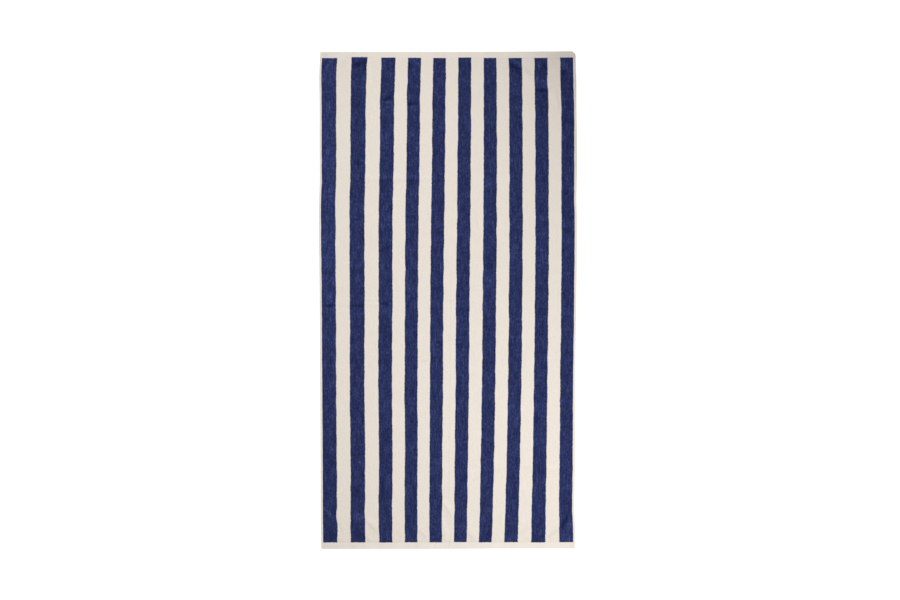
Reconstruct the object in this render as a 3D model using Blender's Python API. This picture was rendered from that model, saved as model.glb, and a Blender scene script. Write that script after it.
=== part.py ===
"""Striped beach towel, lying face up and flat on a surface.

One sewn cloth: a terry field with a sheared pile, a flat hem turned under at each
end and a narrow selvedge down each side. Ten navy stripes run along it on cream.

Metres, +Z up. X runs across the towel and Y along it, from foot to head. The origin
is on the surface, under the middle of the towel.
"""

import math

import bmesh
import bpy

MM = 0.001

# The cloth as it was cut and sewn.
WIDTH = 898 * MM
LENGTH = 1750 * MM
HEM = 23 * MM
LEFT_SELVEDGE = 6 * MM
RIGHT_SELVEDGE = 7 * MM
PILE_THICKNESS = 3.2 * MM
FLAT_THICKNESS = 2.2 * MM
PILE_SHOULDER = 3 * MM
EDGE_ROUND = 0.7 * MM
EDGE_ROUND_STEPS = 2

# Stripes from the left selvedge to the right one, in millimetres.
STRIPE_COLUMNS = ("navy", "cream_after")
STRIPES = (
    (50, 50.5),
    (50.5, 51),
    (47, 46),
    (44, 45),
    (44, 46),
    (45, 47),
    (45, 46),
    (45, 46),
    (45.5, 46.5),
    (45, 0),
)

# How the cloth was laid out by hand: sections from the head to the foot, in
# millimetres. Each gives how far the cloth lies to the right of its true place at
# five places across, and how wide the right selvedge shows.
LAY_COLUMNS = ("along", "left", "left_quarter", "middle", "right_quarter", "right", "right_selvedge")
LAY = (
    (875, 0.5, 8.5, 7, 0, -3, 9.5),
    (820, -2, 7.5, 6.5, 0.5, -1.5, 8.5),
    (775, -3, 6, 6, 1, -1.5, 10),
    (700, -1.5, 3.5, 5, 2, 1, 8),
    (600, -1.5, 3, 4.5, 2.5, 2, 9),
    (525, -1.5, 2.5, 4, 3, 2, 9.5),
    (420, -1, 0.5, 3, 3, 2, 9),
    (350, -3.5, -1, 2, 2, 1.5, 8),
    (280, -4, -2, 1, 3, 3.5, 8),
    (0, -1, -2, -2, 1, 1.5, 8),
    (-280, 0.5, -3.5, -3.5, -2, -2, 7),
    (-560, 2.5, -1, -6, -7, -3.5, 9),
    (-740, 3, -2.5, -7, -12, -5, 7.5),
    (-810, 3.5, -1.5, -7.5, -14, -2, 8),
    (-875, 4, 0, -8, -17, -2.5, 7),
)

# How far each end lies beyond its true place towards the head, in millimetres.
END_COLUMNS = ("end", "left", "left_quarter", "middle", "right_quarter", "right")
ENDS = (
    ("head", -3, -2.5, -2.5, -2, -1),
    ("foot", -0.5, 0, 0, 1, 1),
)

# Size of each corner seen from above, in millimetres, and its shape: a power of 2 is
# round and a power of 1 is cut straight across.
CORNER_COLUMNS = ("side", "end", "size", "power")
CORNERS = (
    ("left", "head", 2, 2),
    ("right", "head", 10, 1.1),
    ("left", "foot", 6, 2),
    ("right", "foot", 6, 2),
)

# Low ridges where the cloth stands off the surface, in millimetres and degrees. The
# heading is the ridge's direction, anticlockwise from the line across the towel.
RIDGE_COLUMNS = ("across", "along", "heading", "length", "width", "height")
RIDGES = (
    (-320, -9, -2, 300, 30, 1.0),
    (-180, 428, 0, 310, 34, 0.8),
    (-165, 702, 12, 140, 26, 1.1),
    (329, 225, 0, 250, 44, 1.3),
    (234, -588, -3, 330, 34, 1.3),
    (-127, -140, 0, 120, 40, 0.9),
    (452, 790, 92, 210, 90, 4),
    (262, 808, -34, 170, 36, 1.4),
    (362, 742, -52, 150, 34, 1.4),
    (-405, 815, 62, 110, 30, 1.1),
    (-262, -795, -48, 130, 30, 1.2),
    (0, -745, -60, 110, 30, 1.2),
    (-92, -818, -45, 80, 28, 1.1),
    (84, -822, -45, 80, 28, 1.1),
    (392, -800, 40, 120, 32, 1.2),
)

ROW_STEP = 27 * MM
CROSSWISE_HEADING = 10
COLUMN_SPLIT_WIDTH = 40 * MM

# Colours are linear; the pile is matt and never metallic.
NAVY = (0.022, 0.032, 0.115, 1.0)
CREAM = (0.790, 0.710, 0.620, 1.0)
PILE_ROUGHNESS = 0.92

HALF_WIDTH = WIDTH / 2
HALF_LENGTH = LENGTH / 2
FIELD_RIGHT = HALF_WIDTH - RIGHT_SELVEDGE


def smooth_curve(places, values, at):
    """Value at one place of the smooth curve through the values at rising places."""
    if at <= places[0]:
        return values[0]
    if at >= places[-1]:
        return values[-1]
    slopes = []
    for index in range(len(places)):
        low = max(index - 1, 0)
        high = min(index + 1, len(places) - 1)
        slopes.append((values[high] - values[low]) / (places[high] - places[low]))
    index = max(i for i, place in enumerate(places) if place <= at)
    span = places[index + 1] - places[index]
    t = (at - places[index]) / span
    start = (1 + 2 * t) * (1 - t) ** 2 * values[index] + t * (1 - t) ** 2 * span * slopes[index]
    finish = t ** 2 * (3 - 2 * t) * values[index + 1] - t ** 2 * (1 - t) * span * slopes[index + 1]
    return start + finish


def lay_value(column, along):
    """A column of the lay table at a place along the towel, in metres."""
    number = LAY_COLUMNS.index(column)
    sections = sorted(LAY)
    places = [row[0] * MM for row in sections]
    values = [row[number] * MM for row in sections]
    return smooth_curve(places, values, along)


def across_stations():
    """The places across the cloth that the lay and end tables give values for."""
    return [-HALF_WIDTH, -HALF_WIDTH / 2, 0.0, HALF_WIDTH / 2, FIELD_RIGHT]


def end_shift(end, across):
    """How far one end of the cloth lies beyond its true place."""
    row = next(row for row in ENDS if row[0] == end)
    return smooth_curve(across_stations(), [value * MM for value in row[1:]], across)


def round_corner(across, along):
    """A cloth point, drawn in where it is near a corner."""
    side = "right" if across > 0 else "left"
    end = "head" if along > 0 else "foot"
    size, power = next(row[2:] for row in CORNERS if row[:2] == (side, end))
    centre_x = HALF_WIDTH - size * MM
    centre_y = HALF_LENGTH - size * MM
    out_x = abs(across) - centre_x
    out_y = abs(along) - centre_y
    if out_x <= 0 or out_y <= 0:
        return across, along
    shrink = max(out_x, out_y) / (out_x ** power + out_y ** power) ** (1 / power)
    x = centre_x + out_x * shrink
    y = centre_y + out_y * shrink
    return math.copysign(x, across), math.copysign(y, along)


def lay_point(across, along):
    """Where a point of the cut cloth lies on the surface."""
    across, along = round_corner(across, along)
    columns = LAY_COLUMNS[1:-1]
    shifts = [lay_value(column, along) for column in columns]
    x = across + smooth_curve(across_stations(), shifts, across)
    past_field = across - FIELD_RIGHT
    if past_field > 0:
        shown = lay_value("right_selvedge", along)
        x += past_field * (shown / RIGHT_SELVEDGE - 1)
    end = "head" if along > 0 else "foot"
    y = along + end_shift(end, across) * abs(along) / HALF_LENGTH
    return x, y


def ridge_height(ridge, x, y):
    """Height of one ridge over a point: round across, fading towards both ends."""
    across, along, heading, length, width, height = ridge
    angle = math.radians(heading)
    east = x - across * MM
    north = y - along * MM
    lengthwise = (east * math.cos(angle) + north * math.sin(angle)) / (length * MM / 2)
    crosswise = (north * math.cos(angle) - east * math.sin(angle)) / (width * MM / 2)
    if abs(lengthwise) >= 1 or abs(crosswise) >= 1:
        return 0.0
    return height * MM * (1 - lengthwise ** 2) * (1 - crosswise ** 2) ** 2


def lift(x, y):
    """Height of the underside: zero where the cloth touches the surface."""
    return max(ridge_height(ridge, x, y) for ridge in RIDGES)


def thickness(across, along):
    """Thickness of the cloth: thin in the hems and selvedges, full over the pile."""
    from_edge = min(
        across + HALF_WIDTH - LEFT_SELVEDGE,
        FIELD_RIGHT - across,
        HALF_LENGTH - HEM - abs(along),
    )
    rise = min(max(from_edge / PILE_SHOULDER, 0.0), 1.0)
    return FLAT_THICKNESS + rise * (PILE_THICKNESS - FLAT_THICKNESS)


def stripe_edges():
    """Places across the cloth where the colour changes, left to right."""
    place = -HALF_WIDTH + LEFT_SELVEDGE
    edges = [place]
    for navy, cream in STRIPES:
        edges.append(edges[-1] + navy * MM)
        if cream:
            edges.append(edges[-1] + cream * MM)
    return edges


def is_navy(across, along):
    """True over a navy stripe, which stops at the hems."""
    if abs(along) > HALF_LENGTH - HEM:
        return False
    edges = stripe_edges()
    return any(low < across < high for low, high in zip(edges[0::2], edges[1::2]))


def column_places():
    """Grid lines across the towel: its edges, stripe edges, shoulders and wide middles."""
    edges = stripe_edges()
    places = {-HALF_WIDTH, HALF_WIDTH, edges[0] + PILE_SHOULDER, edges[-1] - PILE_SHOULDER}
    places.update(edges)
    for low, high in zip(edges, edges[1:]):
        if high - low > COLUMN_SPLIT_WIDTH:
            places.add((low + high) / 2)
    return sorted(places)


def row_places():
    """Grid lines along the towel: ends, hems, even rows, and a row on each cross ridge."""
    field_end = HALF_LENGTH - HEM
    first = field_end - PILE_SHOULDER
    count = round(2 * first / ROW_STEP)
    rows = [first * (2 * index / count - 1) for index in range(count + 1)]
    for _, along, heading, _, width, _ in RIDGES:
        if abs(heading) > CROSSWISE_HEADING:
            continue
        crest = along * MM
        quarter = width * MM / 4
        rows = [row for row in rows if abs(row - crest) > 2 * quarter or abs(row) == first]
        rows += [crest - quarter, crest, crest + quarter]
    rows += [-HALF_LENGTH, -field_end, field_end, HALF_LENGTH]
    return sorted(rows)


def add_layer(mesh, columns, rows, height):
    """One face of the cloth as a grid, at the height given for each cloth point."""
    grid = []
    for along in rows:
        line = []
        for across in columns:
            x, y = lay_point(across, along)
            line.append(mesh.verts.new((x, y, height(across, along, x, y))))
        grid.append(line)
    for row in range(len(rows) - 1):
        for column in range(len(columns) - 1):
            corners = (
                grid[row][column],
                grid[row][column + 1],
                grid[row + 1][column + 1],
                grid[row + 1][column],
            )
            face = mesh.faces.new(corners)
            middle_x = (columns[column] + columns[column + 1]) / 2
            middle_y = (rows[row] + rows[row + 1]) / 2
            face.material_index = 1 if is_navy(middle_x, middle_y) else 0
    return grid


def outline(grid):
    """The vertices round the rim of a grid, in order."""
    foot = grid[0]
    right = [line[-1] for line in grid[1:-1]]
    head = grid[-1][::-1]
    left = [line[0] for line in grid[-2:0:-1]]
    return foot + right + head + left


def towel_mesh():
    """The whole cloth as one closed mesh."""
    columns = column_places()
    rows = row_places()
    mesh = bmesh.new()
    top = add_layer(mesh, columns, rows, lambda u, v, x, y: lift(x, y) + thickness(u, v))
    under = add_layer(mesh, columns, rows, lambda u, v, x, y: lift(x, y))
    rim_top = outline(top)
    rim_under = outline(under)
    rim_edges = []
    for index, vertex in enumerate(rim_top):
        before = index - 1
        mesh.faces.new((rim_top[before], vertex, rim_under[index], rim_under[before]))
        rim_edges.append(mesh.edges.get((rim_top[before], vertex)))
    bmesh.ops.recalc_face_normals(mesh, faces=mesh.faces)
    bmesh.ops.bevel(
        mesh, geom=rim_edges, offset=EDGE_ROUND, segments=EDGE_ROUND_STEPS,
        profile=0.5, affect="EDGES",
    )
    data = bpy.data.meshes.new("towel")
    mesh.to_mesh(data)
    mesh.free()
    return data


def pile_material(name, colour):
    """A matt cloth colour."""
    material = bpy.data.materials.new(name)
    material.use_nodes = True
    material.diffuse_color = colour
    shader = material.node_tree.nodes["Principled BSDF"]
    shader.inputs["Base Color"].default_value = colour
    shader.inputs["Roughness"].default_value = PILE_ROUGHNESS
    shader.inputs["Metallic"].default_value = 0.0
    return material


def main():
    for item in list(bpy.data.objects):
        bpy.data.objects.remove(item, do_unlink=True)
    towel = bpy.data.objects.new("towel", towel_mesh())
    towel.data.materials.append(pile_material("cream_pile", CREAM))
    towel.data.materials.append(pile_material("navy_pile", NAVY))
    bpy.context.scene.collection.objects.link(towel)


main()
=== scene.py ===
"""The looks of a striped beach towel lying flat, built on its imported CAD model.

Metres, +Z up: X runs across the towel and Y along it, from foot to head. The cloth is
one sheet with a sheared pile face, a looped back, turned hems and stitched edges.
"""

import math

import bpy
import numpy as np
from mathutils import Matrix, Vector


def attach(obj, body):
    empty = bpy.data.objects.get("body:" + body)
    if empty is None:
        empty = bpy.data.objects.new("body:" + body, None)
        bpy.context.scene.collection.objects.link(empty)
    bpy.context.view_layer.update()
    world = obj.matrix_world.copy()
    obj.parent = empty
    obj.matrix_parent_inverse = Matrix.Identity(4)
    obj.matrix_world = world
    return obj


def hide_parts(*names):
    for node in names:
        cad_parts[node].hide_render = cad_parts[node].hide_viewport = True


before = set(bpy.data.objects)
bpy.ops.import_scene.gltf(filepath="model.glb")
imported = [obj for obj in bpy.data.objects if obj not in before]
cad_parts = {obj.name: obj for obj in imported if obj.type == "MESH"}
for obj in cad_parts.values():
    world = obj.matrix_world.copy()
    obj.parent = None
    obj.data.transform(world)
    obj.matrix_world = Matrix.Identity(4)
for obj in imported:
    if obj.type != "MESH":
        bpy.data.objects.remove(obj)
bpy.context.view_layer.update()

MM = 0.001

# The cloth as it was cut and sewn. All but the wider pile shoulder is as in the CAD model.
WIDTH = 898 * MM
LENGTH = 1750 * MM
HEM = 23 * MM
LEFT_SELVEDGE = 6 * MM
RIGHT_SELVEDGE = 7 * MM
PILE_THICKNESS = 3.2 * MM
FLAT_THICKNESS = 2.2 * MM
PILE_SHOULDER = 4 * MM
HALF_WIDTH = WIDTH / 2
HALF_LENGTH = LENGTH / 2
FIELD_RIGHT = HALF_WIDTH - RIGHT_SELVEDGE
FIELD_END = HALF_LENGTH - HEM

# Stripes from the left selvedge to the right one, in millimetres: the navy, the cream
# after it, and how far the navy pile grows past the field at the head and at the foot.
STRIPES = (
    # navy, cream after it, past the head, past the foot
    (50, 50.5, 1, 0),
    (50.5, 51, 4.5, 0),
    (47, 46, 2.5, 0.5),
    (44, 45, 1.5, 0),
    (44, 46, 1, 0),
    (45, 47, 2.5, -0.5),
    (45, 46, 1, 0.5),
    (45, 46, 0.5, 0.5),
    (45.5, 46.5, 0.5, 1.5),
    (45, 0, 1.5, 0.5),
)

# Places where one edge of a stripe runs to the right of its line, in millimetres. Edges
# are counted from 0 at the left of the first navy stripe.
JOGS = (
    # edge, along, length, shift
    (1, -815, 120, 2.8),
    (1, -758, 60, -2),
    (1, 850, 110, 1.5),
    (3, 860, 110, 2.2),
    (17, 778, 80, -2),
)

# Ripples that lift the edges of the cloth, in millimetres: two waves run along each
# edge and fade away inside it. Each row holds the long wave, the short wave, the height
# and how far in it fades. The crests slant by one in so many.
HEM_RIPPLE = (83, 47, 0.9, 45)
SIDE_RIPPLE = (121, 67, 0.5, 30)
RIPPLE_SLANT = 9

# Painted sheen: towards the head the first navy stripe is painted lighter, for the light that
# its leaning pile catches there. This is the share that it gains there, and where along the
# towel the gain begins and is full.
FIRST_STRIPE_SHEEN = 0.25
SHEEN_BEGINS = -600 * MM
SHEEN_FULL = 200 * MM

# How the cloth was laid out, as in the CAD model, in millimetres.
# The first is the place along the towel, and the last is how wide the right selvedge
# shows. Between them is how far the cloth lies to the right of its true place.
LAY = (
    # along, left, left quarter, middle, right quarter, right, right selvedge
    (-875, 4, 0, -8, -17, -2.5, 7),
    (-810, 3.5, -1.5, -7.5, -14, -2, 8),
    (-740, 3, -2.5, -7, -12, -5, 7.5),
    (-560, 2.5, -1, -6, -7, -3.5, 9),
    (-280, 0.5, -3.5, -3.5, -2, -2, 7),
    (0, -1, -2, -2, 1, 1.5, 8),
    (280, -4, -2, 1, 3, 3.5, 8),
    (350, -3.5, -1, 2, 2, 1.5, 8),
    (420, -1, 0.5, 3, 3, 2, 9),
    (525, -1.5, 2.5, 4, 3, 2, 9.5),
    (600, -1.5, 3, 4.5, 2.5, 2, 9),
    (700, -1.5, 3.5, 5, 2, 1, 8),
    (775, -3, 6, 6, 1, -1.5, 10),
    (820, -2, 7.5, 6.5, 0.5, -1.5, 8.5),
    (875, 0.5, 8.5, 7, 0, -3, 9.5),
)

# How far each end lies beyond its true place towards the head, at the same five places
# across, in millimetres.
HEAD_SHIFT = (-3, -2.5, -2.5, -2, -1)
FOOT_SHIFT = (-0.5, 0, 0, 1, 1)

# Corners seen from above: a power of 1 is cut straight across, and of 2 is round.
CORNERS = (
    # side, end, size, power
    (-1, 1, 2, 2),
    (1, 1, 10, 1.1),
    (-1, -1, 6, 2),
    (1, -1, 6, 2),
)

# Ridges where the cloth stands off the surface, in millimetres and degrees.
RIDGES = (
    # across, along, heading, length, width, height
    (-320, -9, -2, 300, 30, 1.0),
    (-180, 428, 0, 310, 34, 0.8),
    (-165, 702, 12, 140, 26, 1.1),
    (329, 225, 0, 250, 44, 1.3),
    (234, -588, -3, 330, 34, 1.3),
    (-127, -140, 0, 120, 40, 0.9),
    (452, 790, 92, 210, 90, 4),
    (262, 808, -34, 170, 36, 1.4),
    (362, 742, -52, 150, 34, 1.4),
    (-405, 815, 62, 110, 30, 1.1),
    (-262, -795, -48, 130, 30, 1.2),
    (0, -745, -60, 110, 30, 1.2),
    (-92, -818, -45, 80, 28, 1.1),
    (84, -822, -45, 80, 28, 1.1),
    (392, -800, 40, 120, 32, 1.2),
)

# Painted shade and highlight over cream, in millimetres and degrees: each lightens or
# darkens the cloth by so many percent, as the light and shade of creases, of the rippled
# hems and of the lifted right edge near the head. They lie where they are given, like the ridges.
CREAM_PAINTED_SHADE = (
    # across, along, heading, length, width, change
    (385, 823, -49, 130, 200, -5),
    (420, 862, 0, 230, 40, -6),
    (225, 866, 0, 140, 25, 3),
    (449, 852, 90, 70, 16, -14),
    (453, 770, 90, 270, 26, -20),
    (453, 530, 90, 260, 24, -9),
    (281, 803, -43, 80, 21, -6),
    (280, 766, -45, 120, 36, 3.5),
    (364, 846, -49, 40, 25, -2.5),
    (371, 800, -31, 55, 34, 3),
    (364, 747, -18, 30, 21, -3),
    (387, 705, -78, 150, 17, -4),
    (371, 705, -60, 75, 21, 3),
    (-369, 828, 36, 60, 34, -3),
    (-431, 861, 90, 25, 25, -5),
    (-265, 712, 0, 55, 11, -1.2),
    (-265, 704, 2, 55, 11, 1.2),
    (-183, 434, -1, 400, 17, 1.8),
    (-183, 419, 0, 400, 17, -2.2),
    (-287, -2, -1, 280, 13, -1.8),
    (-287, -12, -1, 280, 14, 3),
    (-315, -22, -1, 200, 13, -1.2),
    (4, -3, 3, 50, 13, -3.5),
    (4, -143, 3, 50, 15, -2.5),
    (-316, 54, 0, 190, 13, -1),
    (-83, -214, 9, 60, 15, -5),
    (-83, -238, 5, 50, 25, 2),
    (-132, -149, 24, 180, 13, -1),
    (-376, -798, -72, 70, 17, -4.5),
    (-380, -844, -11, 25, 17, -4),
    (-364, -796, -67, 70, 30, 2),
    (-267, -798, -40, 80, 16, -6),
    (-262, -775, -39, 60, 25, 2),
    (-283, -840, -60, 35, 15, -8),
    (-271, -830, -58, 60, 17, 2),
    (-172, -823, -45, 70, 17, -3),
    (-90, -823, -54, 60, 18, -5),
    (-93, -782, -56, 65, 25, 1.6),
    (2, -745, -55, 95, 18, -6),
    (2, -717, -52, 75, 25, 3),
    (-4, -803, -72, 105, 23, 3.5),
    (-16, -835, -79, 45, 15, -5),
    (83, -837, -48, 55, 18, -5),
    (93, -796, -40, 70, 34, 1.6),
    (103, -628, 12, 45, 17, -2.5),
    (272, -809, 23, 60, 21, -3),
    (278, -839, 13, 40, 17, -2.5),
    (371, -819, 36, 80, 18, -6),
    (367, -793, 40, 70, 25, 2),
    (276, -587, 10, 55, 17, -3),
    (369, -588, 8, 50, 21, 2.5),
    (91, -599, 10, 50, 21, 2.5),
    (8, -170, 89.4, 1250, 30, 1.2),
    (8, -170, 89.4, 1250, 9, -4),
    (3, -640, 90, 300, 9, -3),
    (6, -850, 80, 80, 9, -7),
    (-400, -866, 0, 260, 30, -3),
    (-58, -865, 70, 45, 18, 5),
    (-108, -865, 90, 45, 30, -4),
    (176, -865, 80, 50, 30, 3),
    (436, -865, 90, 60, 20, -5),
)

# Crushed and parted pile over the navy stripes, painted as the sheen and shade it shows,
# with painted shade and highlight of creases, in the same columns.
NAVY_PILE_SHEEN_AND_SHADE = (
    # across, along, heading, length, width, change
    (241, 836, -26, 65, 19, 85),
    (236, 818, -30, 75, 20, -50),
    (252, 795, -38, 50, 20, -45),
    (341, 817, -63, 30, 21, -28),
    (327, 768, -36, 75, 30, 60),
    (329, 737, -5, 60, 21, -60),
    (411, 828, -67, 60, 17, 37),
    (404, 800, -69, 40, 17, -43),
    (415, 758, -39, 30, 17, 28),
    (239, 673, -30, 35, 17, 25),
    (241, 649, -31, 55, 21, -28),
    (418, 635, -10, 60, 45, -18),
    (-432, 828, 58, 45, 21, -40),
    (-413, 835, 53, 45, 21, 23),
    (-315, 828, 25, 80, 26, -50),
    (-213, 707, 22, 50, 19, -62),
    (-211, 693, 18, 45, 21, 22),
    (-126, 691, 6, 70, 21, -55),
    (-128, 715, 0, 50, 25, 25),
    (-126, 822, 0, 60, 25, -30),
    (-126, 841, 0, 55, 14, 35),
    (-316, 482, -5, 50, 30, -40),
    (-183, 434, -1, 400, 17, 28),
    (-183, 419, 0, 400, 17, -22),
    (-418, -20, 2, 75, 18, -50),
    (-418, 18, 5, 50, 60, 12),
    (-320, -21, -1, 60, 15, -46),
    (-322, 46, 0, 55, 17, 28),
    (-220, -13, -14, 45, 17, -50),
    (-207, -47, 90, 45, 21, 28),
    (-417, -750, -48, 85, 19, 43),
    (-422, -761, -49, 50, 25, -22),
    (-318, -761, -18, 60, 34, 70),
    (-323, -716, -24, 45, 38, 22),
    (-316, -682, -4, 60, 34, -22),
    (-320, -819, -29, 45, 34, -19),
    (-327, -643, -45, 45, 34, 22),
    (-229, -650, -88, 115, 21, -28),
    (-207, -665, -86, 60, 21, 22),
    (-146, -682, -86, 70, 21, 37),
    (-120, -666, -87, 100, 21, -16),
    (334, -831, 3, 40, 14, -37),
    (327, -795, 4, 60, 25, -19),
    (411, -779, 63, 70, 23, -53),
    (429, -795, 58, 60, 25, 55),
    (420, -835, -31, 60, 34, 50),
    (88, -613, -3, 50, 17, -22),
    (325, 231, 0, 60, 17, 35),
    (325, 243, 0, 50, 14, -25),
    (418, 215, 0, 55, 30, 20),
    (418, 245, 0, 55, 30, -20),
)

# How far navy tufts spread over the cream beside them.
STRIPE_SPREAD = 0.9 * MM

# Depth of the groove on the back where the pile starts.
BACK_GROOVE = 0.4 * MM

# The rolled outer edge of the cloth: how far it bulges, and where round the roll from the
# face to the back its lines of points lie, in degrees.
EDGE_BULGE = 1.0 * MM
EDGE_ANGLES = (45, 90, 135)

# Grid of the sheet, and its extra lines this far inside the edges.
STRIPE_STEPS = 8
ROW_STEP = 6.5 * MM
NEAR_SIDES = (EDGE_BULGE, 2.5 * MM)
NEAR_ENDS = (EDGE_BULGE, 2.5 * MM, 5 * MM, 9 * MM, 14 * MM)

# Room left round the cloth in its texture map.
MAP_MARGIN = 10 * MM

# Sewing: how far in the lines lie, one stitch, the channel that a line pulls into the
# cloth, and how far from the corners it ends.
HEM_STITCH_INSET = 20 * MM
SELVEDGE_STITCH_INSET = 5.5 * MM
STITCH_PITCH = 3.2 * MM
STITCH_LENGTH = 2.7 * MM
STITCH_WIDTH = 0.55 * MM
STITCH_HEIGHT = 0.4 * MM
STITCH_CHANNEL = 1.5 * MM
STITCH_DIP = 0.25 * MM
STITCH_END_CLEAR = 4 * MM

# Colours, linear.
CREAM = (0.768, 0.700, 0.626)
FLAT_CREAM = (0.792, 0.725, 0.652)
HEM_BY_NAVY = (0.776, 0.712, 0.647)
NAVY = (0.0182, 0.0262, 0.0965)
THREAD = (0.78, 0.72, 0.65)
FLOOR_WHITE = (0.6, 0.6, 0.6)

# How matt each thing is, and the cloth's faint gloss and sheen.
PILE_ROUGHNESS = 0.9
THREAD_ROUGHNESS = 0.7
FLOOR_ROUGHNESS = 0.9
PILE_SPECULAR = 0.12
PILE_SHEEN = 0.05
SHEEN_ROUGHNESS = 0.5

# Uneven pile as noise: how wide and long its lumps are on the cloth in millimetres,
# which noise it is, and how many finer octaves it has.
EDGE_TUFTS = (5, 8, 11.0, 2.0)
EDGE_DRIFT = (60, 45, 17.0, 0.0)
END_TUFTS = (6, 40, 13.0, 2.0)
FINE_NAP = (4.5, 9, 3.0, 3.0)
STREAKS = (4.5, 50, 5.0, 2.0)
PATCHES = (17, 28, 7.0, 3.0)
LEAN = (50, 90, 9.0, 2.0)
BACK_LOOPS = (2.2, 2.8, 19.0, 2.0)

# How far tufts wander over the edges of the stripes and of the field, and how wide the
# change from one colour to the other is, to either side.
TUFT_REACH = 0.85 * MM
DRIFT_REACH = 1.8 * MM
END_TUFT_REACH = 0.9 * MM
STRIPE_SOFTNESS = 1.4 * MM
FIELD_SOFTNESS = 1.2 * MM

# How much the other noises count beside each other in the light that the pile catches.
FINE_SHARE = 0.78
STREAK_SHARE = 0.55
PATCH_SHARE = 0.4
LEAN_SHARE = 0.2

# How much lighter navy gets with each step of that noise, as a factor, how strongly its
# blue follows beside its red and green, and how much lighter cream gets, as a share.
NAVY_CONTRAST = 2.6
BLUE_SHARE = 0.72
CREAM_CONTRAST = 0.042

# Depth of the bump of the sheared pile and of the loops on the back.
PILE_BUMP = 0.35 * MM
LOOP_BUMP = 0.5 * MM

# Where a mark's change is full, as a share of the way in from its end to its middle.
MARK_FULL = 0.7

# Brightness that the white table adds by itself, beside the towel and away from it, and
# the places where the change starts and ends, in metres from the middle of the towel.
NEAR_GLOW = 0.49
FAR_GLOW = 1.1
GLOW_ACROSS = (0.455, 0.55)
GLOW_ALONG = (0.76, 1.1)
FLOOR_SIZE = 60.0
FLOOR_DROP = 0.2 * MM

# Lamps: place, target and size in metres, spread in degrees, and watts.
LIGHTS = {
    "key": ((1.37, -0.91, 2.03), (-0.02, -0.52, 0), 0.5, 116, 14.5),
    "fill": ((0, 1.77, 1.20), (-0.52, -0.90, 0), 0.4, 88, 5.9),
}

# The white room: how much it lights the towel, and how bright it is seen.
ROOM_LIGHT = 0.44
ROOM_SEEN = 1.0

# The camera, and the width and the middle of what it sees on the table.
LENS = 85
SENSOR = 36
CLIP_END = 200
VIEW_WIDTH = 3.164
VIEW_CENTRE = (7.0 * MM, -0.2 * MM)


def curve_weights(places, at):
    """Share of each table row in the smooth curve through the rows, at each point."""
    places = np.asarray(places, float)
    at = np.clip(at, places[0], places[-1])
    count = len(places)
    index = np.clip(np.searchsorted(places, at, side="right") - 1, 0, count - 2)
    span = places[index + 1] - places[index]
    t = (at - places[index]) / span
    weights = np.zeros(at.shape + (count,))
    parts = (
        (index, (1 + 2 * t) * (1 - t) ** 2, t * (1 - t) ** 2 * span),
        (index + 1, t ** 2 * (3 - 2 * t), -t ** 2 * (1 - t) * span),
    )
    for row, of_value, of_slope in parts:
        low = np.maximum(row - 1, 0)
        high = np.minimum(row + 1, count - 1)
        per_slope = of_slope / (places[high] - places[low])
        for which, share in ((row, of_value), (high, per_slope), (low, -per_slope)):
            previous = np.take_along_axis(weights, which[..., None], -1)
            np.put_along_axis(weights, which[..., None], previous + share[..., None], -1)
    return weights


def rounded(across, along):
    """Cloth points, drawn in near the rounded corners."""
    across = across.copy()
    along = along.copy()
    for side, end, size, power in CORNERS:
        centre_x = HALF_WIDTH - size * MM
        centre_y = HALF_LENGTH - size * MM
        out_x = across * side - centre_x
        out_y = along * end - centre_y
        near = (out_x > 0) & (out_y > 0)
        out_x, out_y = out_x[near], out_y[near]
        shrink = np.maximum(out_x, out_y) / (out_x ** power + out_y ** power) ** (1 / power)
        across[near] = side * (centre_x + out_x * shrink)
        along[near] = end * (centre_y + out_y * shrink)
    return across, along


def lay_points(across, along):
    """Where points of the cut cloth lie on the surface."""
    across, along = rounded(across, along)
    table = np.array(LAY) * MM
    by_section = curve_weights(table[:, 0], along)
    stations = (-HALF_WIDTH, -HALF_WIDTH / 2, 0.0, HALF_WIDTH / 2, FIELD_RIGHT)
    by_station = curve_weights(stations, across)
    shifts = by_section @ table[:, 1:6]
    shown = by_section @ table[:, 6]
    past_field = np.maximum(across - FIELD_RIGHT, 0)
    x = across + (shifts * by_station).sum(-1) + past_field * (shown / RIGHT_SELVEDGE - 1)
    ends = np.where((along > 0)[..., None], HEAD_SHIFT, FOOT_SHIFT) * MM
    y = along + (ends * by_station).sum(-1) * np.abs(along) / HALF_LENGTH
    return x, y


def low_ridge(ridge, x, y):
    """Height of one ridge: round across, fading towards both ends."""
    across, along, heading, length, width, height = ridge
    angle = math.radians(heading)
    east = x - across * MM
    north = y - along * MM
    lengthwise = (east * math.cos(angle) + north * math.sin(angle)) / (length * MM / 2)
    crosswise = (north * math.cos(angle) - east * math.sin(angle)) / (width * MM / 2)
    ends = np.clip(1 - lengthwise ** 2, 0, None)
    sides = np.clip(1 - crosswise ** 2, 0, None) ** 2
    return height * MM * ends * sides


def ripple(table, run, inward):
    """Lift near an edge: run is the place along the edge, inward the distance from it."""
    long_wave, short_wave, height, fade = table
    waves = 2 + np.sin(math.tau * run / (long_wave * MM)) + np.sin(math.tau * run / (short_wave * MM) + 1)
    return height * MM * waves / 4 * smooth_step(1 - inward / (fade * MM))


def lift(x, y):
    """Height of the underside over the surface."""
    ridges = np.max([low_ridge(ridge, x, y) for ridge in RIDGES], axis=0)
    hems = ripple(HEM_RIPPLE, x + y / RIPPLE_SLANT, HALF_LENGTH - np.abs(y))
    sides = ripple(SIDE_RIPPLE, y + x / RIPPLE_SLANT, HALF_WIDTH - np.abs(x))
    return np.maximum(ridges, np.maximum(hems, sides))


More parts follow.
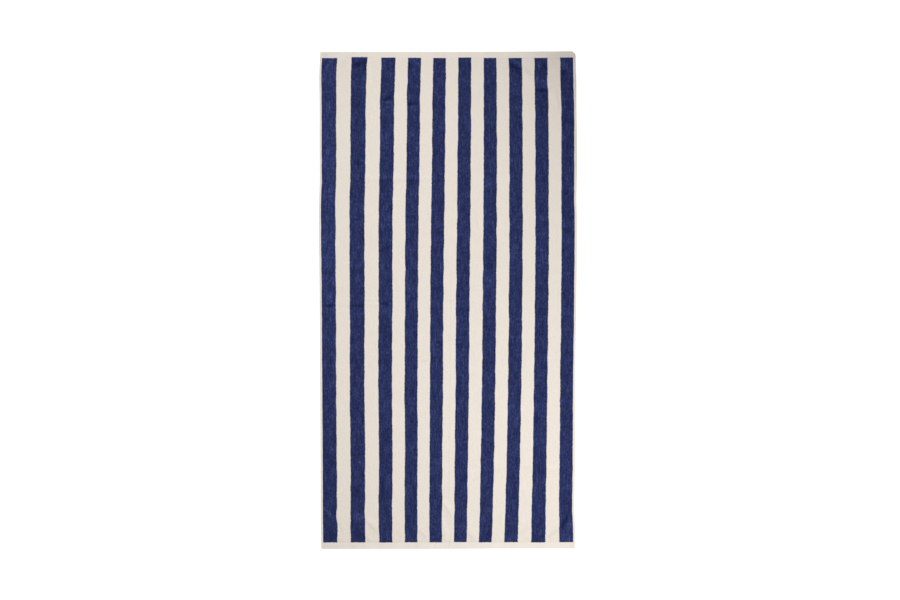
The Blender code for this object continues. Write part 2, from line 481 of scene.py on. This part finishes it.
def depth_in_field(across, along):
    """How far inside the pile field a cloth point is; negative in hems and selvedges."""
    left = across + HALF_WIDTH - LEFT_SELVEDGE
    right = FIELD_RIGHT - across
    end = FIELD_END - np.abs(along)
    return np.minimum(np.minimum(left, right), end)


def stripe_numbers(across):
    """Which stripe each place across the cloth belongs to or is nearest, from 0."""
    edges = stripe_edges()
    middles = (edges[0::2] + edges[1::2]) / 2
    return np.abs(across[..., None] - middles).argmin(-1)


def pile_reach(across, along):
    """Like depth_in_field, with each stripe's pile ending where its own tufts do."""
    past = np.array(STRIPES)[stripe_numbers(across), 2:] * MM
    past = np.where(along > 0, past[..., 0], past[..., 1])
    return depth_in_field(across, np.sign(along) * (np.abs(along) - past))


def painted_first_stripe_sheen(across, along):
    """Painted sheen: how much lighter each place is painted for the light that the pile's lean catches,
    as a share.
    """
    gain = FIRST_STRIPE_SHEEN * smooth_step((along - SHEEN_BEGINS) / (SHEEN_FULL - SHEEN_BEGINS))
    return np.where(stripe_numbers(across) == 0, gain, 0.0)


def smooth_step(value):
    value = np.clip(value, 0, 1)
    return value * value * (3 - 2 * value)


def channel(across, along):
    """Depth of the shallow channels that the stitch lines pull into the cloth."""
    from_side = HALF_WIDTH - np.abs(across)
    from_end = HALF_LENGTH - np.abs(along)
    off_side = np.abs(from_side - SELVEDGE_STITCH_INSET)
    off_end = np.abs(from_end - HEM_STITCH_INSET)
    nearest = np.minimum(off_side, off_end) / STITCH_CHANNEL
    return STITCH_DIP * smooth_step(1 - nearest)


def surfaces(across, along):
    """Places on the face and on the back for points of the cut cloth."""
    x, y = lay_points(across, along)
    depth = depth_in_field(across, along)
    under = lift(x, y)
    rise = smooth_step(depth / PILE_SHOULDER)
    thick = FLAT_THICKNESS + rise * (PILE_THICKNESS - FLAT_THICKNESS)
    dip = channel(across, along)
    groove = BACK_GROOVE * smooth_step(1 - np.abs(2 * depth / PILE_SHOULDER - 1))
    top = np.stack([x, y, under + thick - dip], -1)
    back = np.stack([x, y, under + groove + dip], -1)
    return top, back


def stripe_edges():
    """Places across the cloth where the colour changes, left to right."""
    edges = [-HALF_WIDTH + LEFT_SELVEDGE]
    for navy, cream, _, _ in STRIPES:
        edges.append(edges[-1] + navy * MM)
        if cream:
            edges.append(edges[-1] + cream * MM)
    return np.array(edges)


def into_navy(across, along):
    """Distance inside the nearest navy stripe; negative over cream."""
    edges = np.tile(stripe_edges(), (len(across), 1))
    for edge, middle, length, shift in JOGS:
        off_middle = np.abs(along / MM - middle) / (length / 2)
        edges[:, edge] += shift * MM * smooth_step(1 - off_middle)
    nearest = np.abs(across[:, None] - edges).min(-1)
    passed = (across[:, None] > edges).sum(-1)
    return np.where(passed % 2 == 1, nearest, -nearest)


def distinct(places):
    """Rising grid lines, with any that fall within a hundredth of a millimetre made one."""
    return np.unique(np.round(places, 5))


def column_places():
    """Grid lines across the sheet, closer at the selvedges and at stripe edges."""
    edges = stripe_edges()
    places = []
    for low, high in zip(edges[:-1], edges[1:]):
        places += list(np.linspace(low, high, STRIPE_STEPS, endpoint=False))
    places.append(edges[-1])
    places += [edges[0] + PILE_SHOULDER / 2, edges[0] + PILE_SHOULDER]
    places += [edges[-1] - PILE_SHOULDER / 2, edges[-1] - PILE_SHOULDER]
    inset = SELVEDGE_STITCH_INSET
    for inward in (*NEAR_SIDES, inset - STITCH_CHANNEL, inset, inset + STITCH_CHANNEL):
        places += [-HALF_WIDTH + inward, HALF_WIDTH - inward]
    return distinct(places)


def row_places():
    """Grid lines along the sheet, closer at the hems."""
    first = FIELD_END - PILE_SHOULDER
    count = round(2 * first / ROW_STEP)
    places = list(np.linspace(-first, first, count + 1))
    inset = HEM_STITCH_INSET
    near_stitches = (inset - STITCH_CHANNEL, inset, inset + STITCH_CHANNEL)
    for inward in (*NEAR_ENDS, *near_stitches, HEM, HEM + PILE_SHOULDER / 2):
        places += [-HALF_LENGTH + inward, HALF_LENGTH - inward]
    return distinct(places)


def outline(rows, columns):
    """Flat indices of a grid's outermost points, in order round it."""
    numbers = np.arange(rows * columns).reshape(rows, columns)
    sides = (numbers[0, :-1], numbers[:-1, -1], numbers[-1, :0:-1], numbers[:0:-1, 0])
    return np.concatenate(sides)


def new_mesh(name, points, faces):
    """A smooth-shaded object from points and faces."""
    data = bpy.data.meshes.new(name)
    data.from_pydata(points.tolist(), [], faces)
    data.polygons.foreach_set("use_smooth", np.ones(len(data.polygons), bool))
    data.update()
    piece = bpy.data.objects.new(name, data)
    bpy.context.scene.collection.objects.link(piece)
    return piece


def add_attribute(piece, name, values):
    """A number for each point, for the material to read."""
    layer = piece.data.attributes.new(name, "FLOAT", "POINT")
    layer.data.foreach_set("value", np.asarray(values, np.float32).ravel())


def add_texture_map(piece, across, along, faces, on_face):
    """A map for textures: the face of the cloth on its left half, the back on its right."""
    share_x = (across[faces] + HALF_WIDTH + MAP_MARGIN) / (WIDTH + 2 * MAP_MARGIN)
    share_y = (along[faces] + HALF_LENGTH + MAP_MARGIN) / (LENGTH + 2 * MAP_MARGIN)
    u = np.where(on_face[:, None], share_x, 2 - share_x) / 2
    layer = piece.data.uv_layers.new(name="OFBake")
    layer.uv.foreach_set("vector", np.stack([u, share_y], -1).astype(np.float32).ravel())


def make_cloth():
    """The towel as one closed sheet: face, back and the rolled edge between them."""
    columns = column_places()
    rows = row_places()
    across, along = np.meshgrid(columns, rows)
    face, back = surfaces(across, along)
    flat = face.reshape(-1, 3), back.reshape(-1, 3)
    count = across.size
    ring = outline(len(rows), len(columns))
    size = len(ring)

    cloth_x, cloth_y = across.ravel()[ring], along.ravel()[ring]
    top, under = flat[0][ring], flat[1][ring]
    run = np.roll(top, -1, 0) - np.roll(top, 1, 0)
    outward = np.stack([run[:, 1], -run[:, 0]], -1)
    outward /= np.linalg.norm(outward, axis=1)[:, None]

    points = [flat[0], flat[1]]
    place_x, place_y = [across.ravel(), across.ravel()], [along.ravel(), along.ravel()]
    fronts = [np.ones(count), np.zeros(count)]
    for angle in EDGE_ANGLES:
        turn = math.radians(angle)
        share = (1 + math.cos(turn)) / 2
        bulge = EDGE_BULGE * math.sin(turn)
        edge = top * share + under * (1 - share)
        edge[:, :2] += outward * bulge
        points.append(edge)
        place_x.append(cloth_x + outward[:, 0] * bulge)
        place_y.append(cloth_y + outward[:, 1] * bulge)
        fronts.append(np.full(size, share))

    numbers = np.arange(count).reshape(len(rows), len(columns))
    a, b = numbers[:-1, :-1].ravel(), numbers[:-1, 1:].ravel()
    c, d = numbers[1:, 1:].ravel(), numbers[1:, :-1].ravel()
    quads = [np.stack([a, b, c, d], -1), np.stack([d, c, b, a], -1) + count]
    rings = [ring] + [2 * count + size * level + np.arange(size) for level in range(len(EDGE_ANGLES))]
    rings.append(ring + count)
    for upper, lower in zip(rings[:-1], rings[1:]):
        quads.append(np.stack([lower, np.roll(lower, -1), np.roll(upper, -1), upper], -1))
    faces = np.concatenate(quads)

    cloth = new_mesh("towel_cloth", np.concatenate(points), faces.tolist())
    place_x, place_y = np.concatenate(place_x), np.concatenate(place_y)
    half = len(quads[0])
    on_face = np.zeros(len(faces), bool)
    on_face[:half] = True
    on_face[2 * half:2 * half + 2 * size] = True
    add_texture_map(cloth, place_x, place_y, faces, on_face)
    add_attribute(cloth, "across", place_x)
    add_attribute(cloth, "along", place_y)
    add_attribute(cloth, "front", np.concatenate(fronts))
    add_attribute(cloth, "into_navy", into_navy(place_x, place_y))
    add_attribute(cloth, "field", pile_reach(place_x, place_y))
    add_attribute(cloth, "sheen_paint", painted_first_stripe_sheen(place_x, place_y))
    return cloth


class Graph:
    """Short ways to add shader nodes to one new material."""

    def __init__(self, name):
        self.material = bpy.data.materials.new(name)
        self.material.use_nodes = True
        self.tree = self.material.node_tree
        self.shader = self.tree.nodes["Principled BSDF"]

    def put(self, socket, value):
        """Links a socket, or sets its value."""
        if isinstance(value, bpy.types.NodeSocket):
            self.tree.links.new(value, socket)
        else:
            socket.default_value = value

    def math(self, operation, *values):
        node = self.tree.nodes.new("ShaderNodeMath")
        node.operation = operation
        for socket, value in zip(node.inputs, values):
            self.put(socket, value)
        return node.outputs[0]

    def attribute(self, name):
        node = self.tree.nodes.new("ShaderNodeAttribute")
        node.attribute_name = name
        return node.outputs["Fac"]

    def vector(self, x, y, z):
        node = self.tree.nodes.new("ShaderNodeCombineXYZ")
        for socket, value in zip(node.inputs, (x, y, z)):
            self.put(socket, value)
        return node.outputs[0]

    def lying_place(self, height):
        """Where a point lies on the surface, with a height of its own."""
        place = self.tree.nodes.new("ShaderNodeTexCoord").outputs["Object"]
        parts = self.tree.nodes.new("ShaderNodeSeparateXYZ")
        self.put(parts.inputs[0], place)
        return self.vector(parts.outputs[0], parts.outputs[1], height)

    def marks(self, place, table):
        """The share by which a table of marks changes the brightness at a place."""
        total = 0.0
        for across, along, heading, length, width, change in table:
            spot = self.tree.nodes.new("ShaderNodeMapping")
            spot.vector_type = "TEXTURE"
            self.put(spot.inputs["Vector"], place)
            spot.inputs["Location"].default_value = (across * MM, along * MM, 0)
            spot.inputs["Rotation"].default_value = (0, 0, math.radians(heading))
            spot.inputs["Scale"].default_value = (length * MM / 2, width * MM / 2, 1)
            fade = self.tree.nodes.new("ShaderNodeTexGradient")
            fade.gradient_type = "SPHERICAL"
            self.put(fade.inputs["Vector"], spot.outputs[0])
            full = self.step(fade.outputs["Fac"], 0.0, MARK_FULL)
            total = self.math("MULTIPLY_ADD", full, change / 100, total)
        return total

    def noise(self, vector, detail):
        """Soft noise about 0, from -1 to 1, with one lump to each unit of the vector."""
        node = self.tree.nodes.new("ShaderNodeTexNoise")
        node.normalize = False
        self.put(node.inputs["Vector"], vector)
        self.put(node.inputs["Scale"], 1.0)
        self.put(node.inputs["Detail"], detail)
        self.put(node.inputs["Roughness"], 0.5)
        return node.outputs["Fac"]

    def step(self, value, low, high):
        """0 below low, 1 above high, smooth between."""
        node = self.tree.nodes.new("ShaderNodeMapRange")
        node.interpolation_type = "SMOOTHSTEP"
        self.put(node.inputs["Value"], value)
        self.put(node.inputs["From Min"], low)
        self.put(node.inputs["From Max"], high)
        return node.outputs["Result"]

    def blend(self, factor, low, high):
        node = self.tree.nodes.new("ShaderNodeMix")
        node.data_type = "FLOAT"
        self.put(node.inputs[0], factor)
        self.put(node.inputs[2], low)
        self.put(node.inputs[3], high)
        return node.outputs[0]

    def colour_blend(self, factor, low, high):
        node = self.tree.nodes.new("ShaderNodeMix")
        node.data_type = "RGBA"
        self.put(node.inputs[0], factor)
        for socket, colour in ((node.inputs[6], low), (node.inputs[7], high)):
            self.put(socket, (*colour, 1.0) if isinstance(colour, tuple) else colour)
        return node.outputs[2]

    def scaled(self, colour, factor):
        """A colour made lighter or darker by a factor."""
        node = self.tree.nodes.new("ShaderNodeVectorMath")
        node.operation = "SCALE"
        self.put(node.inputs[0], colour)
        self.put(node.inputs["Scale"], factor)
        return node.outputs[0]

    def tinted(self, colour, factors):
        """A colour with its red, green and blue multiplied by three factors."""
        node = self.tree.nodes.new("ShaderNodeVectorMath")
        node.operation = "MULTIPLY"
        self.put(node.inputs[0], colour)
        self.put(node.inputs[1], factors)
        return node.outputs[0]

    def bump(self, height):
        """Tilts the surface by a height given in metres."""
        node = self.tree.nodes.new("ShaderNodeBump")
        self.put(node.inputs["Strength"], 1.0)
        self.put(node.inputs["Distance"], 1.0)
        self.put(node.inputs["Height"], height)
        self.put(self.shader.inputs["Normal"], node.outputs[0])


def lumps(graph, across, along, pattern):
    """One of the noises of the uneven pile."""
    wide, long, seed, detail = pattern
    place = graph.vector(
        graph.math("DIVIDE", across, wide * MM),
        graph.math("DIVIDE", along, long * MM),
        seed,
    )
    return graph.noise(place, detail)


def cloth_material():
    """Sheared navy and cream pile, loops on the back, and flat-woven edges."""
    g = Graph("striped_terry")
    across, along = g.attribute("across"), g.attribute("along")
    front, field = g.attribute("front"), g.attribute("field")

    # Ragged stripe edges, where tufts of one colour lean over the other.
    tufts = g.math("MULTIPLY", lumps(g, across, along, EDGE_TUFTS), TUFT_REACH)
    drift = g.math("MULTIPLY", lumps(g, across, along, EDGE_DRIFT), DRIFT_REACH)
    ragged = g.math("ADD", g.attribute("into_navy"), g.math("ADD", tufts, drift))
    ragged = g.math("ADD", ragged, STRIPE_SPREAD)
    navy = g.step(ragged, -STRIPE_SOFTNESS, STRIPE_SOFTNESS)
    end_tufts = g.math("MULTIPLY", lumps(g, across, along, END_TUFTS), END_TUFT_REACH)
    pile = g.step(g.math("ADD", field, end_tufts), -FIELD_SOFTNESS, FIELD_SOFTNESS)

    # Pile that leans this way and that catches more or less light.
    fine = lumps(g, across, along, FINE_NAP)
    nap = g.math("MULTIPLY", fine, FINE_SHARE)
    for pattern, share in ((STREAKS, STREAK_SHARE), (PATCHES, PATCH_SHARE), (LEAN, LEAN_SHARE)):
        nap = g.math("ADD", nap, g.math("MULTIPLY", lumps(g, across, along, pattern), share))
    place = g.lying_place(g.math("SUBTRACT", 1.0, front))
    navy_light = g.math("POWER", NAVY_CONTRAST, nap)
    # Painted sheen: the first navy stripe painted lighter towards the head.
    navy_light = g.math("MULTIPLY", navy_light, g.math("ADD", 1.0, g.attribute("sheen_paint")))
    # Crushed pile painted as its sheen and shade, with painted crease shade and highlight, on the navy.
    navy_light = g.math("MULTIPLY", navy_light, g.math("ADD", 1.0, g.marks(place, NAVY_PILE_SHEEN_AND_SHADE)))
    cream_light = g.math("ADD", 1.0, g.math("MULTIPLY", nap, CREAM_CONTRAST))
    # Painted shade and highlight of creases, hem ripples and the lifted edge, on the cream.
    painted_cream_shade = g.math("ADD", 1.0, g.marks(place, CREAM_PAINTED_SHADE))

    # Navy and cream pile, and the flat weave of the hems and selvedges.
    blue_light = g.math("MULTIPLY_ADD", navy_light, BLUE_SHARE, 1 - BLUE_SHARE)
    navy_colour = g.tinted(NAVY, g.vector(navy_light, navy_light, blue_light))
    pile_colour = g.colour_blend(navy, g.scaled(CREAM, cream_light), navy_colour)
    hem_colour = g.colour_blend(navy, FLAT_CREAM, HEM_BY_NAVY)
    colour = g.colour_blend(pile, hem_colour, pile_colour)
    on_cream = g.math("SUBTRACT", 1.0, g.math("MULTIPLY", navy, pile))
    colour = g.scaled(colour, g.blend(on_cream, 1.0, painted_cream_shade))
    g.put(g.shader.inputs["Base Color"], colour)
    g.put(g.shader.inputs["Roughness"], PILE_ROUGHNESS)
    g.put(g.shader.inputs["Specular IOR Level"], PILE_SPECULAR)
    g.put(g.shader.inputs["Sheen Weight"], PILE_SHEEN)
    g.put(g.shader.inputs["Sheen Roughness"], SHEEN_ROUGHNESS)
    sheared = g.math("MULTIPLY", fine, PILE_BUMP)
    looped = g.math("MULTIPLY", lumps(g, across, along, BACK_LOOPS), LOOP_BUMP)
    g.bump(g.math("MULTIPLY", g.blend(front, looped, sheared), pile))
    return g.material


def thread_material():
    """Cream sewing thread."""
    g = Graph("cream_thread")
    g.put(g.shader.inputs["Base Color"], (*THREAD, 1.0))
    g.put(g.shader.inputs["Roughness"], THREAD_ROUGHNESS)
    return g.material


def floor_material():
    """A white table, lit a little from within so that it stays white far from the lamps."""
    g = Graph("white_table")
    g.put(g.shader.inputs["Base Color"], (*FLOOR_WHITE, 1.0))
    g.put(g.shader.inputs["Roughness"], FLOOR_ROUGHNESS)
    g.shader.inputs["Specular IOR Level"].default_value = 0.0
    g.shader.inputs["Emission Color"].default_value = (1, 1, 1, 1)
    parts = g.tree.nodes.new("ShaderNodeSeparateXYZ")
    g.put(parts.inputs[0], g.tree.nodes.new("ShaderNodeTexCoord").outputs["Object"])
    aside = g.step(g.math("ABSOLUTE", parts.outputs[0]), *GLOW_ACROSS)
    beyond = g.step(g.math("ABSOLUTE", parts.outputs[1]), *GLOW_ALONG)
    far = g.math("MAXIMUM", aside, beyond)
    g.put(g.shader.inputs["Emission Strength"], g.blend(far, NEAR_GLOW, FAR_GLOW))
    return g.material


def add_floor():
    """The table, a hair below the cloth."""
    bpy.ops.mesh.primitive_plane_add(size=FLOOR_SIZE, location=(0, 0, -FLOOR_DROP))
    floor = bpy.context.object
    floor.name = "floor"
    floor.data.materials.append(floor_material())


def aim(lamp, target):
    """Turns a lamp towards a point."""
    direction = Vector(target) - lamp.location
    lamp.rotation_euler = direction.to_track_quat("-Z", "Y").to_euler()


def add_lights():
    """Two soft lamps."""
    for name, (place, target, size, spread, watts) in LIGHTS.items():
        data = bpy.data.lights.new(name, "AREA")
        data.size = size
        data.spread = math.radians(spread)
        data.energy = watts
        light = bpy.data.objects.new(name, data)
        light.location = place
        light.visible_camera = False
        aim(light, target)
        bpy.context.scene.collection.objects.link(light)


def add_room():
    """An even white room, which lights the towel less than it shows."""
    world = bpy.data.worlds.new("studio")
    bpy.context.scene.world = world
    world.use_nodes = True
    nodes, links = world.node_tree.nodes, world.node_tree.links
    background = nodes["Background"]
    background.inputs["Color"].default_value = (1, 1, 1, 1)
    rays = nodes.new("ShaderNodeLightPath")
    level = nodes.new("ShaderNodeMix")
    level.inputs[2].default_value = ROOM_LIGHT
    level.inputs[3].default_value = ROOM_SEEN
    links.new(rays.outputs["Is Camera Ray"], level.inputs[0])
    links.new(level.outputs[0], background.inputs["Strength"])


def add_camera():
    """Straight above the towel, with the foot of the towel at the bottom."""
    data = bpy.data.cameras.new("camera")
    data.lens = LENS
    data.sensor_width = SENSOR
    data.clip_end = CLIP_END
    camera = bpy.data.objects.new("camera", data)
    camera.location = (*VIEW_CENTRE, VIEW_WIDTH * LENS / SENSOR)
    bpy.context.scene.collection.objects.link(camera)
    bpy.context.scene.camera = camera


def stitch_shape():
    """Points and faces of one stitch of unit half-sizes, lying along X."""
    around, rings = 6, 4
    points = [(-1.0, 0.0, 0.0)]
    for ring in range(1, rings):
        turn = math.pi * ring / rings
        for step in range(around):
            angle = 2 * math.pi * step / around
            radius = math.sin(turn)
            points.append((-math.cos(turn), radius * math.cos(angle), radius * math.sin(angle)))
    points.append((1.0, 0.0, 0.0))
    last = len(points) - 1
    faces = []
    for step in range(around):
        after = (step + 1) % around
        faces.append((0, 1 + after, 1 + step))
        for ring in range(rings - 2):
            low, high = 1 + ring * around, 1 + (ring + 1) * around
            faces.append((low + step, low + after, high + after, high + step))
        end = 1 + (rings - 2) * around
        faces.append((end + step, end + after, last))
    return np.array(points), faces


def make_stitches(name, start, end):
    """A row of stitches from one cloth point to another, on the face and on the back."""
    start, end = np.array(start), np.array(end)
    count = int(np.linalg.norm(end - start) / STITCH_PITCH)
    share = (np.arange(count) + 0.5) / count
    half = (end - start) / count * STITCH_LENGTH / STITCH_PITCH / 2
    middles = start + (end - start) * share[:, None]
    shape, shape_faces = stitch_shape()
    points, faces = [], []
    for side in (0, 1):
        sides = [surfaces(*(middles + half * way).T)[side] for way in (-1, 1)]
        centre = (sides[0] + sides[1]) / 2
        run = (sides[1] - sides[0]) / 2
        across_run = np.stack([-run[:, 1], run[:, 0], 0 * run[:, 0]], -1)
        across_run *= STITCH_WIDTH / 2 / np.linalg.norm(across_run, axis=1)[:, None]
        upward = np.array([0, 0, STITCH_HEIGHT / 2])
        for index in range(count):
            base = len(points) * len(shape)
            points.append(
                centre[index]
                + shape[:, :1] * run[index]
                + shape[:, 1:2] * across_run[index]
                + shape[:, 2:] * upward
            )
            faces += [[base + corner for corner in face] for face in shape_faces]
    return new_mesh(name, np.concatenate(points), faces)


def add_all_stitches():
    """Lockstitch along both hems and both selvedges."""
    side = HALF_WIDTH - SELVEDGE_STITCH_INSET
    end = HALF_LENGTH - HEM_STITCH_INSET
    far_x = HALF_WIDTH - STITCH_END_CLEAR
    far_y = HALF_LENGTH - STITCH_END_CLEAR
    lines = {
        "head_hem_stitches": ((-far_x, end), (far_x, end)),
        "foot_hem_stitches": ((-far_x, -end), (far_x, -end)),
        "left_selvedge_stitches": ((-side, -far_y), (-side, far_y)),
        "right_selvedge_stitches": ((side, -far_y), (side, far_y)),
    }
    thread = thread_material()
    pieces = []
    for name, (start, finish) in lines.items():
        piece = make_stitches(name, start, finish)
        piece.data.materials.append(thread)
        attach(piece, "root")
        pieces.append(piece)
    return pieces


def main():
    bpy.context.scene.view_settings.view_transform = "Standard"
    cloth = make_cloth()
    cloth.data.materials.append(cloth_material())
    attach(cloth, "root")
    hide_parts("towel")
    stitches = add_all_stitches()
    add_floor()
    add_lights()
    add_room()
    add_camera()


main()
